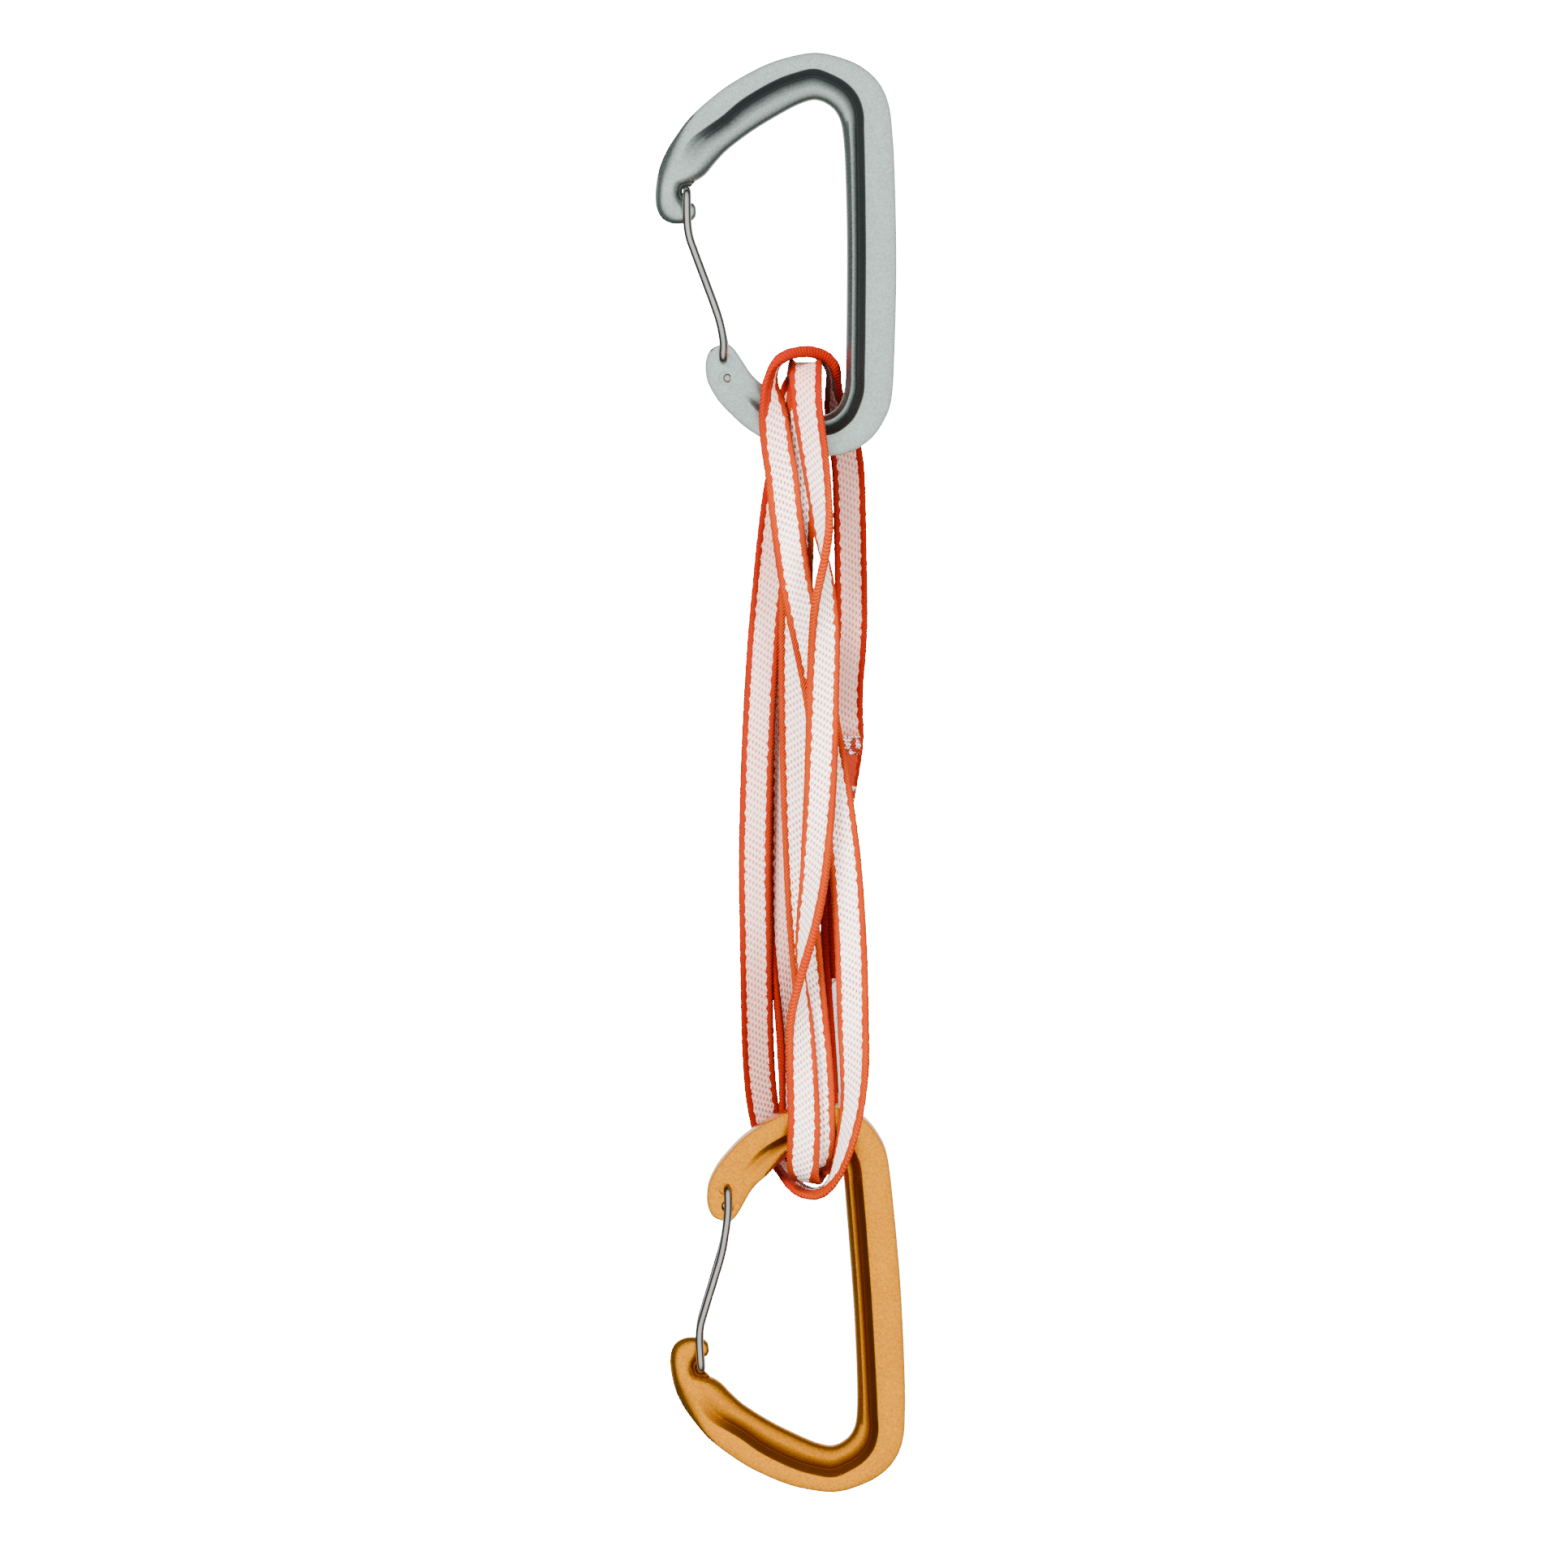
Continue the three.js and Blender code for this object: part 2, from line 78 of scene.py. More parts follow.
area_light("key", (-0.55, -0.95, 0.55), (0, 0, -0.15), 0.5, 0.7, 88.0)
area_light("fill", (0.8, -0.8, -0.1), (0, 0, -0.2), 0.4, 0.8, 34.0)
area_light("back", (0.3, 0.9, 0.4), (0, 0, -0.15), 0.6, 0.6, 16.0)

# The room is white to the eye; what shiny things mirror is bright in front and behind, and
# dark all round the sides, which gives the forged walls their dark lines.
world = bpy.data.worlds.new("studio")
bpy.context.scene.world = world
world.use_nodes = True
tree = world.node_tree
tree.nodes.clear()
out = tree.nodes.new("ShaderNodeOutputWorld")
mix = tree.nodes.new("ShaderNodeMixShader")
paths = tree.nodes.new("ShaderNodeLightPath")
seen = tree.nodes.new("ShaderNodeBackground")
seen.inputs["Color"].default_value = (1, 1, 1, 1)
seen.inputs["Strength"].default_value = 26.0
room = tree.nodes.new("ShaderNodeBackground")
room.inputs["Strength"].default_value = 2.0
coords = tree.nodes.new("ShaderNodeTexCoord")
split = tree.nodes.new("ShaderNodeSeparateXYZ")
tree.links.new(coords.outputs["Generated"], split.inputs[0])
side = tree.nodes.new("ShaderNodeMath")
side.operation = "ABSOLUTE"
tree.links.new(split.outputs["Y"], side.inputs[0])
ramp = tree.nodes.new("ShaderNodeValToRGB")
ramp.color_ramp.elements[0].position = 0.42
ramp.color_ramp.elements[0].color = (0.03, 0.034, 0.036, 1)
ramp.color_ramp.elements[1].position = 0.95
ramp.color_ramp.elements[1].color = (1.0, 1.0, 1.0, 1)
tree.links.new(side.outputs[0], ramp.inputs[0])
tree.links.new(ramp.outputs["Color"], room.inputs["Color"])
tree.links.new(paths.outputs["Is Camera Ray"], mix.inputs[0])
tree.links.new(room.outputs[0], mix.inputs[1])
tree.links.new(seen.outputs[0], mix.inputs[2])
tree.links.new(mix.outputs[0], out.inputs["Surface"])


# ---------------------------------------------------------------- carabiner frames
# Hot-forged I-section bodies: a flat outer rail, a steep wall and a round inner rail, which
# turn into a full flat boss at the gate's hinge and a smooth round nose.

# Control rows are smoothed with a Catmull-Rom curve, then rings are skinned into a mesh.
def smooth_rows(rows, count):
    rows = np.asarray(rows, float)
    padded = np.vstack([rows[:1], rows, rows[-1:]])
    out_rows = []
    for i in range(len(rows) - 1):
        p0, p1, p2, p3 = padded[i:i + 4]
        n = count(rows[i], rows[i + 1])
        for k in range(n):
            t = k / n
            out_rows.append(0.5 * (2 * p1 + (p2 - p0) * t + (2 * p0 - 5 * p1 + 4 * p2 - p3) * t * t
                                   + (3 * p1 - p0 - 3 * p2 + p3) * t ** 3))
    out_rows.append(rows[-1])
    return np.array(out_rows)


def skin(name, rings, uv=None):
    rings = np.asarray(rings, float)
    count, n = rings.shape[:2]
    verts = np.vstack([rings.reshape(-1, 3), rings[0].mean(0)[None], rings[-1].mean(0)[None]]) * MM
    faces = []
    for s in range(count - 1):
        for k in range(n):
            a, b = s * n + k, s * n + (k + 1) % n
            faces.append((a, b, b + n, a + n))
    last = (count - 1) * n
    for k in range(n):
        faces.append((count * n, (k + 1) % n, k))
        faces.append((count * n + 1, last + k, last + (k + 1) % n))
    mesh = bpy.data.meshes.new(name)
    mesh.from_pydata([tuple(v) for v in verts], [], faces)
    mesh.update()
    # The map holds how far across the section and along the run each point is.
    if uv is not None:
        layer = mesh.uv_layers.new(name="weave")
        across, along = uv
        flat = []
        for s in range(count - 1):
            for k in range(n):
                k2 = k + 1
                flat += [across[k], along[s], across[k2], along[s],
                         across[k2], along[s + 1], across[k], along[s + 1]]
        for k in range(n):
            flat += [0, along[0]] * 3 + [0, along[-1]] * 3
        layer.data.foreach_set("uv", flat)
    bm = bmesh.new()
    bm.from_mesh(mesh)
    bmesh.ops.recalc_face_normals(bm, faces=bm.faces)
    bm.to_mesh(mesh)
    bm.free()
    mesh.shade_smooth()
    piece = bpy.data.objects.new(name, mesh)
    bpy.context.collection.objects.link(piece)
    return piece


def shader(name):
    material = bpy.data.materials.new(name)
    material.use_nodes = True
    nodes, links = material.node_tree.nodes, material.node_tree.links
    return material, nodes, links, nodes["Principled BSDF"]


def math_node(nodes, links, kind, a, b=None, c=None):
    node = nodes.new("ShaderNodeMath")
    node.operation = kind
    for i, value in enumerate((a, b, c)):
        if value is None:
            continue
        if isinstance(value, (int, float)):
            node.inputs[i].default_value = value
        else:
            links.new(value, node.inputs[i])
    return node.outputs[0]


def mix_colour(nodes, links, factor, a, b):
    node = nodes.new("ShaderNodeMix")
    node.data_type = "RGBA"
    for socket, value in ((node.inputs[0], factor), (node.inputs[6], a), (node.inputs[7], b)):
        if isinstance(value, (int, float, tuple)):
            socket.default_value = value if isinstance(value, (int, float)) else (*value, 1)
        else:
            links.new(value, socket)
    return node.outputs[2]


def noise(nodes, links, vector, scale, detail=3.0, stretch=None):
    if stretch is not None:
        mapping = nodes.new("ShaderNodeMapping")
        mapping.inputs["Scale"].default_value = stretch
        links.new(vector, mapping.inputs["Vector"])
        vector = mapping.outputs["Vector"]
    node = nodes.new("ShaderNodeTexNoise")
    node.inputs["Scale"].default_value = scale
    node.inputs["Detail"].default_value = detail
    links.new(vector, node.inputs["Vector"])
    return node.outputs["Fac"]


# Each row is the outer x and z, the inner x and z, the section's shape (0 boss, 1 rail,
# 2 nose), the flat's width and half the depth.
FRAME_ROWS = [
  [-22.2, -58.1, -20.3, -58.0, 0, 1.2, 3.5],
  [-24.6, -59.3, -19.0, -59.1, 0, 3.4, 3.5],
  [-25.7, -61.6, -17.5, -61.2, 0, 4.6, 3.5],
  [-25.9, -64.4, -16.2, -63.2, 0, 5.2, 3.5],
  [-25.2, -67.6, -14.8, -65.2, 0, 5.4, 3.5],
  [-23.0, -71.4, -13.0, -67.0, 0, 5.2, 3.5],
  [-19.9, -74.8, -11.0, -68.4, 0.15, 5.0, 3.5],
  [-15.8, -78.4, -8.5, -70.4, 0.5, 4.8, 3.5],
  [-10.0, -81.8, -5.6, -72.5, 0.85, 4.9, 3.5],
  [-3.5, -84.2, -2.0, -74.3, 1, 5.0, 3.5],
  [3.3, -84.9, 2.0, -75.0, 1, 5.0, 3.5],
  [8.6, -84.0, 4.5, -74.3, 1, 5.6, 3.5],
  [13.8, -80.9, 6.4, -72.3, 1, 6.4, 3.5],
  [17.3, -76.0, 7.4, -69.6, 1, 6.9, 3.5],
  [19.0, -70.6, 7.8, -66.4, 1, 7.1, 3.5],
  [19.6, -60.0, 7.9, -59.8, 1, 7.1, 3.5],
  [20.0, -43.0, 8.05, -43.0, 1, 7.4, 3.5],
  [19.9, -30.0, 8.0, -30.0, 1, 7.3, 3.5],
  [19.5, -16.0, 7.6, -15.8, 1, 7.1, 3.5],
  [19.0, -8.0, 7.1, -8.6, 1, 6.8, 3.5],
  [18.2, -1.5, 6.4, -4.8, 1, 6.4, 3.5],
  [16.0, 3.7, 5.0, -2.3, 1, 6.0, 3.5],
  [12.0, 7.6, 3.1, -0.8, 1, 5.4, 3.5],
  [6.7, 10.0, 1.5, -0.15, 1, 4.6, 3.5],
  [0.5, 11.2, -0.3, 0.0, 1, 3.9, 3.5],
  [-6.2, 10.1, -3.2, -0.9, 1, 4.1, 3.5],
  [-12.2, 8.0, -7.0, -2.8, 1, 4.4, 3.5],
  [-19.6, 4.0, -13.0, -6.3, 1, 4.7, 3.5],
  [-25.0, 0.0, -17.5, -9.4, 1, 5.0, 3.5],
  [-29.6, -4.2, -21.0, -12.2, 1.1, 4.3, 3.5],
  [-32.6, -8.0, -23.6, -15.0, 1.45, 3.0, 3.4],
  [-35.2, -12.0, -26.0, -17.8, 1.85, 3.0, 3.3],
  [-36.9, -16.0, -28.6, -19.4, 2, 3.0, 3.2],
  [-37.6, -19.3, -31.5, -20.2, 2, 3.0, 3.1],
  [-37.9, -22.6, -32.0, -21.9, 2, 3.0, 3.1],
  [-37.6, -25.6, -31.7, -23.1, 2, 3.0, 2.8],
  [-36.3, -28.0, -30.9, -23.7, 2, 3.0, 2.3],
  [-33.9, -29.2, -30.0, -24.0, 2, 2.4, 1.9],
  [-31.2, -29.2, -29.2, -24.2, 2, 2.0, 1.7],
  [-29.2, -28.6, -28.5, -24.6, 2, 1.8, 1.6],
  [-28.2, -27.6, -28.1, -25.5, 2, 0.8, 1.1],
]
CROWN = 2.6
GROOVE = 1.7
GROOVE_WALL = 1.7


def boss_profile(w, h):
    e = min(0.7, w * 0.2)
    return [(0, h - e), (e * 0.3, h - e * 0.3), (e, h), (w * 0.3, h), (w * 0.45, h), (w * 0.5, h),
            (w * 0.55, h), (w * 0.6, h), (w * 0.68, h), (w * 0.75, h), (w - e, h),
            (w - e * 0.3, h - e * 0.3), (w, h - e), (w, 0)]


def rail_profile(w, flat, h):
    foot = flat + GROOVE_WALL
    mid = (foot + w) / 2 + 0.1
    return [(0, h - 0.75), (0.22, h - 0.22), (0.75, h), (flat * 0.5, h), (flat - 0.15, h),
            (flat + 0.12, h - 0.12), (foot - 0.25, GROOVE + 0.18), (foot + 0.1, GROOVE),
            (foot + 0.45, GROOVE + 0.35), (mid - 0.5, CROWN - 0.12), (mid, CROWN),
            (w - 0.9, CROWN - 0.5), (w - 0.25, 1.25), (w, 0)]


def nose_height(s, h):
    if s == 0:
        return h * 0.3
    if s == 1:
        return 0.0
    return h * max(0.0, 1 - abs(2 * s - 1) ** 2.6) ** 0.5


def nose_profile(w, h):
    spots = (0, 0.03, 0.08, 0.16, 0.26, 0.36, 0.46, 0.56, 0.66, 0.76, 0.85, 0.93, 0.98, 1.0)
    return [(w * s, nose_height(s, h)) for s in spots]


def frame_ring(row):
    ox, oz, ix, iz, shape, flat, half = row
    w = math.hypot(ix - ox, iz - oz)
    shape = min(max(shape, 0), 2)
    rail = rail_profile(w, min(flat, w - 4.6), half)
    other = boss_profile(w, half) if shape < 1 else nose_profile(w, half)
    t = abs(shape - 1)
    side = [(p[0] + (q[0] - p[0]) * t, p[1] + (q[1] - p[1]) * t) for p, q in zip(rail, other)]
    dx, dz = (ix - ox) / w, (iz - oz) / w
    front = [(ox + dx * s, -y, oz + dz * s) for s, y in side]
    back = [(ox + dx * s, y, oz + dz * s) for s, y in reversed(side[:-1])]
    return front + back


HINGE_X = -21.1
HINGE_Z = -64
HOLE_RADIUS = 1.55
HOLE_LENGTH = 3.4
HOLE_Y = 3.9


def drilled(piece):
    # The wire's two holes are sunk from both faces and end in the dark body behind the wire.
    for shift, drop, face_y in ((0.2, 2.2, -HOLE_Y), (-0.2, -2.2, -HOLE_Y),
                                (0.2, 2.2, HOLE_Y), (-0.2, -2.2, HOLE_Y)):
        bpy.ops.mesh.primitive_cylinder_add(
            vertices=48, radius=HOLE_RADIUS * MM, depth=HOLE_LENGTH * MM,
            location=((HINGE_X + shift) * MM, face_y * MM, (HINGE_Z + drop) * MM),
            rotation=(math.pi / 2, 0, 0))
        drill = bpy.context.active_object
        cut = piece.modifiers.new("hole", "BOOLEAN")
        cut.operation = "DIFFERENCE"
        cut.solver = "EXACT"
        cut.object = drill
        depsgraph = bpy.context.evaluated_depsgraph_get()
        made = bpy.data.meshes.new_from_object(piece.evaluated_get(depsgraph))
        piece.modifiers.clear()
        piece.data = made
        bpy.data.objects.remove(drill)
    piece.data.set_sharp_from_angle(angle=math.radians(40))
    return piece


def anodised(name, bright, deep, wall_shade, rough):
    material, nodes, links, bsdf = shader(name)
    place = nodes.new("ShaderNodeTexCoord").outputs["Object"]
    grain = noise(nodes, links, place, 2100, 3)
    cloud = noise(nodes, links, place, 60, 3)
    shade = math_node(nodes, links, "MULTIPLY_ADD", grain, 1.5, -0.4)
    shade = math_node(nodes, links, "MULTIPLY_ADD", cloud, 0.5, shade)
    colour = mix_colour(nodes, links, shade, deep, bright)
    # The zone map holds how far across the section a point is, and how open the groove is there;
    # the groove's steep wall is painted dark and a little rougher, as painted shade and the dark
    # reflection it would mirror, and the round inner rail a little darker to dull its highlight.
    zone = nodes.new("ShaderNodeUVMap")
    zone.uv_map = "weave"
    parts = nodes.new("ShaderNodeSeparateXYZ")
    links.new(zone.outputs[0], parts.inputs[0])
    rise = nodes.new("ShaderNodeMapRange")
    rise.interpolation_type = "SMOOTHSTEP"
    for socket, value in zip(rise.inputs[1:3], (4.1, 5.3)):
        socket.default_value = value
    links.new(parts.outputs[0], rise.inputs[0])
    fall = nodes.new("ShaderNodeMapRange")
    fall.interpolation_type = "SMOOTHSTEP"
    for socket, value in zip(fall.inputs[1:5], (7.6, 9.3, 1.0, 0.3)):
        socket.default_value = value
    links.new(parts.outputs[0], fall.inputs[0])
    # Painted shade: this mask darkens the wall fully and the inner rail by about a quarter.
    wall_shade_mask = math_node(nodes, links, "MULTIPLY", rise.outputs[0], fall.outputs[0])
    wall_shade_mask = math_node(nodes, links, "MULTIPLY", wall_shade_mask, parts.outputs[1])
    colour = mix_colour(nodes, links, math_node(nodes, links, "MULTIPLY", wall_shade_mask, 0.88), colour, wall_shade)
    links.new(colour, bsdf.inputs["Base Color"])
    bsdf.inputs["Metallic"].default_value = 0.97
    satin = math_node(nodes, links, "MULTIPLY_ADD", cloud, 0.12, rough - 0.06)
    links.new(math_node(nodes, links, "MULTIPLY_ADD", wall_shade_mask, 0.12, satin), bsdf.inputs["Roughness"])
    bump = nodes.new("ShaderNodeBump")
    bump.inputs["Strength"].default_value = 0.12
    bump.inputs["Distance"].default_value = 0.00005
    links.new(grain, bump.inputs["Height"])
    links.new(bump.outputs[0], bsdf.inputs["Normal"])
    return material


def gap_steps(a, b):
    return max(2, int(round(math.hypot(b[0] - a[0], b[1] - a[1]) / 0.8)))


FLIP = (Matrix.Translation((0.0044, 0, -0.3279)) @ Matrix.Rotation(math.radians(-4), 4, "Y")
        @ Matrix.Rotation(math.pi, 4, "X"))
frame_path = smooth_rows(FRAME_ROWS, gap_steps)
frame_rings = [frame_ring(r) for r in frame_path]

# The nose's notch has a thin web behind the wire's closed end.
SEAT_X = -30.3
SEAT_Z = -21.5
SEAT_INNER = 1.15
SEAT_OUTER = 2.9
SEAT_HALF = 1.2
SEAT_CORNERS = ((SEAT_INNER, -SEAT_HALF), (SEAT_OUTER, -SEAT_HALF),
                (SEAT_OUTER, SEAT_HALF), (SEAT_INNER, SEAT_HALF))
seat_rings = []
for turn in np.radians(np.linspace(50, 255, 26)):
    seat_rings.append([(SEAT_X + r * math.cos(turn), y, SEAT_Z + r * math.sin(turn))
                       for r, y in SEAT_CORNERS])
# Fourteen points run from the outer edge to the inner one on each face.
INNER_POINT = 13
zone_across = [min(k, 2 * INNER_POINT - k) for k in range(2 * INNER_POINT + 1)] + [0]
zone_open = [1 - min(1, abs(min(max(r[4], 0), 2) - 1)) for r in frame_path]
top_frame = drilled(skin("top_frame_visual", frame_rings, (zone_across, zone_open)))
# The zone value 6.5 gives the seat the full painted wall shade, standing for the shade inside the notch.
seat = skin("seat", seat_rings, ([6.5] * 5, [1.0] * len(seat_rings)))
both = bmesh.new()
both.from_mesh(top_frame.data)
both.from_mesh(seat.data)
both.to_mesh(top_frame.data)
both.free()
bpy.data.objects.remove(seat)
bottom_frame = bpy.data.objects.new("bottom_frame_visual", top_frame.data.copy())
bpy.context.collection.objects.link(bottom_frame)
bottom_frame.data.transform(FLIP)
# The last colour of each finish is the painted shade of its groove walls.
grey = anodised("anodised_grey", (0.52, 0.61, 0.56), (0.24, 0.31, 0.285), (0.03, 0.036, 0.038), 0.3)
gold = anodised("anodised_gold", (0.95, 0.36, 0.0), (0.46, 0.13, 0.0), (0.14, 0.02, 0.0), 0.27)
for piece, material, body, node, slot in (
        (top_frame, grey, "top_frame", "top_carabiner_frame", "grey_alloy"),
        (bottom_frame, gold, "bottom_frame", "bottom_carabiner_frame", "gold_alloy")):
    piece.data.materials.clear()
    piece.data.materials.append(material)
    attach(piece, body)
    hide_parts(node)

# ---------------------------------------------------------------- wire gates
# One stainless wire each, bent into a loop; both ends turn into the boss, and the closed
# end rests in the nose's notch.
# B is half the loop's spread low down and N half its spread at the nose; U and L mark the
# upper and lower holes.
B = 4.85
N = 3.1
UX = HINGE_X - 0.5
UZ = HINGE_Z + 2.2
LX = HINGE_X + 0.5
LZ = HINGE_Z - 2.2
GATE = [
    (UX, 2.4, UZ), (UX, -B + 1.6, UZ), (UX, -B + 0.4, UZ + 0.35), (UX, -B, UZ + 1.6), (-21.5, -B, -58),
    (-22.1, -B, -54), (-23.3, -B + 0.1, -50), (-25.5, -4.3, -44), (-28.5, -3.5, -36), (-29.7, -3.2, -32.5),
    (-30.2, -N, -29), (-30.3, -N, -23.4), (-30.3, -N + 0.4, -22), (-30.3, -N + 1.5, -21.5),
    (-30.3, N - 1.5, -21.5), (-30.3, N - 0.4, -22), (-30.3, N, -23.4), (-30.2, N, -29), (-29.7, 3.2, -32.5),
    (-28.5, 3.5, -36), (-25.5, 4.3, -44), (-23.3, B - 0.1, -50), (-22, B, -55), (-21, B, -60),
    (LX, B, LZ + 1.8), (LX, B - 0.4, LZ + 0.35), (LX, B - 1.6, LZ), (LX, -2.9, LZ),
]


def tube(name, path, radius, sides):
    pts = [Vector(p) for p in path]
    rings, across = [], Vector((1, 0, 0))
    for i, p in enumerate(pts):
        along = (pts[min(i + 1, len(pts) - 1)] - pts[max(i - 1, 0)]).normalized()
        across = (across - along * across.dot(along)).normalized()
        up = along.cross(across)
        rings.append([p + radius * (across * math.cos(t) + up * math.sin(t))
                      for t in (2 * math.pi * k / sides for k in range(sides))])
    ends = []
    for ring, centre, out_way in ((rings[0], pts[0], pts[0] - pts[1]),
                                  (rings[-1], pts[-1], pts[-1] - pts[-2])):
        step = out_way.normalized() * radius * 0.25
        ends.append([centre + (q - centre) * 0.72 + step for q in ring])
    return skin(name, [ends[0]] + rings + [ends[1]])


gate_path = smooth_rows(GATE, lambda a, b: max(2, int(np.linalg.norm(b - a) / 0.7)))
top_gate = tube("top_gate_visual", gate_path, 1.0, 28)
bottom_gate = bpy.data.objects.new("bottom_gate_visual", top_gate.data.copy())
bpy.context.collection.objects.link(bottom_gate)
bottom_gate.data.transform(FLIP)
steel, nodes, links, bsdf = shader("gate_steel")
place = nodes.new("ShaderNodeTexCoord").outputs["Object"]
drawn = noise(nodes, links, place, 900, 4, (1, 1, 0.06))
spots = noise(nodes, links, place, 220, 3)
links.new(mix_colour(nodes, links, drawn, (0.3, 0.285, 0.26), (0.62, 0.6, 0.56)),
          bsdf.inputs["Base Color"])
bsdf.inputs["Metallic"].default_value = 1.0
links.new(math_node(nodes, links, "MULTIPLY_ADD", spots, 0.14, 0.1), bsdf.inputs["Roughness"])
for piece, body, node in ((top_gate, "top_gate", "top_wire_gate"),
                          (bottom_gate, "bottom_gate", "bottom_wire_gate")):
    piece.data.materials.clear()
    piece.data.materials.append(steel)
    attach(piece, body)
    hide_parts(node)

# ---------------------------------------------------------------- sling webbing
# One strip of 8 mm woven tape, tripled between the carabiners. Rows are x, y, z of its centre
# line and the turn of its width about the vertical; the ends overlap at the sewn joint.
TOP_FRONT_TO_REAR_RIGHT = [
  [1.5, -4.8, -143, 900], [-0.8, -5.2, -131, 900], [-3.0, -6.2, -121, 905], [-4.6, -7.2, -113, 905],
  [-5.9, -8.3, -103.5, 905], [-6.7, -9.0, -97, 905], [-7.6, -9.7, -89, 908], [-8.6, -10.2, -83, 915],
  [-9.3, -10.5, -77, 925], [-9.7, -10.3, -72, 945], [-10.0, -9.5, -68, 965], [-9.3, -8.0, -64.2, 983],
  [-7.2, -5.7, -61.6, 991], [-4.2, -2.9, -60.3, 993], [-1.2, -0.3, -60.0, 993], [1.8, 2.2, -60.7, 995],
  [4.0, 4.4, -62.6, 999], [5.0, 6.4, -65.6, 1005], [5.3, 8.0, -69.6, 1018], [6.0, 8.9, -74.5, 1040],
  [7.4, 8.8, -80.5, 1062], [8.5, 8.1, -87, 1075], [8.9, 7.3, -95, 1080], [9.1, 6.6, -103.5, 1080],
  [9.3, 6.0, -115, 1080], [9.4, 5.8, -125, 1080], [9.0, 5.6, -133, 1080], [8.2, 5.4, -143, 1080],
]
TOP_CENTRE_TO_REAR = [
  [2.3, -8.2, -143, 549], [2.6, -8.5, -130, 560], [2.6, -9.2, -121, 585], [2.7, -9.9, -114, 610],
  [2.6, -10.5, -108, 635], [2.2, -11.1, -101, 660], [1.2, -11.8, -92, 678], [0.0, -12.4, -83, 688],
  [-1.2, -12.5, -75, 692], [-1.7, -11.2, -69, 697], [-1.8, -7.8, -65.4, 704], [-1.8, -2.9, -63.2, 712],
  [-2.1, 2.2, -63.3, 720], [-2.4, 6.8, -65.6, 720], [-2.6, 9.1, -69.6, 720], [-2.7, 9.5, -76, 720],
  [-3.0, 9.1, -84, 720], [-3.6, 8.0, -97, 718], [-4.4, 6.8, -112, 708], [-5.1, 5.8, -124, 694],
  [-5.9, 5.0, -133, 682], [-6.6, 4.6, -143, 678],
]
TOP_INNER_TO_REAR_LEFT = [
  [-4.3, -1.1, -143, 720], [-4.3, -1.6, -130, 720], [-4.0, -2.8, -115, 720], [-3.6, -4.4, -100, 720],
  [-3.3, -5.9, -88, 720], [-3.0, -6.8, -79, 720], [-2.7, -6.6, -73, 720], [-2.1, -5.2, -69, 724],
  [-1.8, -2.4, -66.4, 730], [-2.3, 1.4, -65.8, 735], [-3.4, 4.9, -67.4, 732], [-4.4, 6.7, -71, 724],
  [-5.2, 7.0, -77, 720], [-6.4, 6.5, -85, 720], [-8.2, 5.3, -94, 720], [-9.6, 4.0, -105, 720],
  [-10.8, 2.9, -117, 720], [-11.8, 2.3, -128, 720], [-12.8, 2.0, -143, 720],
]
BOTTOM_SEWN_TO_CENTRE = [
  [8.7, 5.5, -137, 180], [8.2, 5.4, -147, 184], [7.9, 5.4, -153, 203], [7.1, 5.4, -160, 226],
  [5.7, 5.4, -171, 245], [4.2, 5.6, -183, 252], [3.8, 5.8, -193, 255], [3.9, 6.1, -203, 255],
  [4.5, 6.8, -213, 255], [5.2, 8.0, -223, 255], [5.9, 9.2, -233, 255], [6.3, 10.1, -241, 256],
  [6.2, 10.3, -248, 262], [5.0, 9.2, -254.6, 278], [2.6, 6.2, -259.1, 294], [-0.1, 2.1, -261.1, 304],
  [-1.6, -2.8, -261.2, 318], [-2.4, -7.4, -258.5, 340], [-2.3, -10.0, -252.5, 358], [-2.2, -10.8, -246, 370],
  [-2.3, -10.9, -240, 376], [-2.8, -10.7, -231, 385], [-3.2, -10.4, -221, 405], [-3.0, -10.2, -212, 440],
  [-2.2, -9.8, -204, 468], [-1.0, -9.4, -196, 488], [0.2, -9.0, -187, 502], [1.0, -8.6, -177, 516],
  [1.7, -8.3, -165, 530], [2.1, -8.2, -153, 540], [2.4, -8.2, -137, 553],
]
BOTTOM_REAR_TO_INNER = [
  [-6.2, 4.8, -137, 679], [-6.9, 4.5, -149, 676], [-7.0, 4.3, -164, 678], [-7.0, 4.2, -180, 684],
  [-6.9, 4.3, -194, 702], [-6.6, 5.0, -206, 730], [-6.2, 6.6, -217, 755], [-5.8, 8.2, -227, 768],
  [-5.6, 9.5, -237, 772], [-5.4, 10.0, -246, 770], [-4.9, 9.2, -252.5, 766], [-3.6, 6.5, -257, 762],
  [-2.0, 2.7, -258.7, 758], [-0.6, -1.6, -258.2, 750], [0.8, -5.2, -256.2, 738], [1.5, -6.8, -251, 724],
  [1.4, -7.0, -243, 720], [0.9, -6.5, -233, 720], [-0.2, -5.6, -221, 720], [-1.5, -4.6, -208, 720],
  [-2.6, -3.6, -194, 720], [-3.4, -2.6, -178, 720], [-4.0, -1.7, -160, 720], [-4.3, -1.3, -137, 720],
]
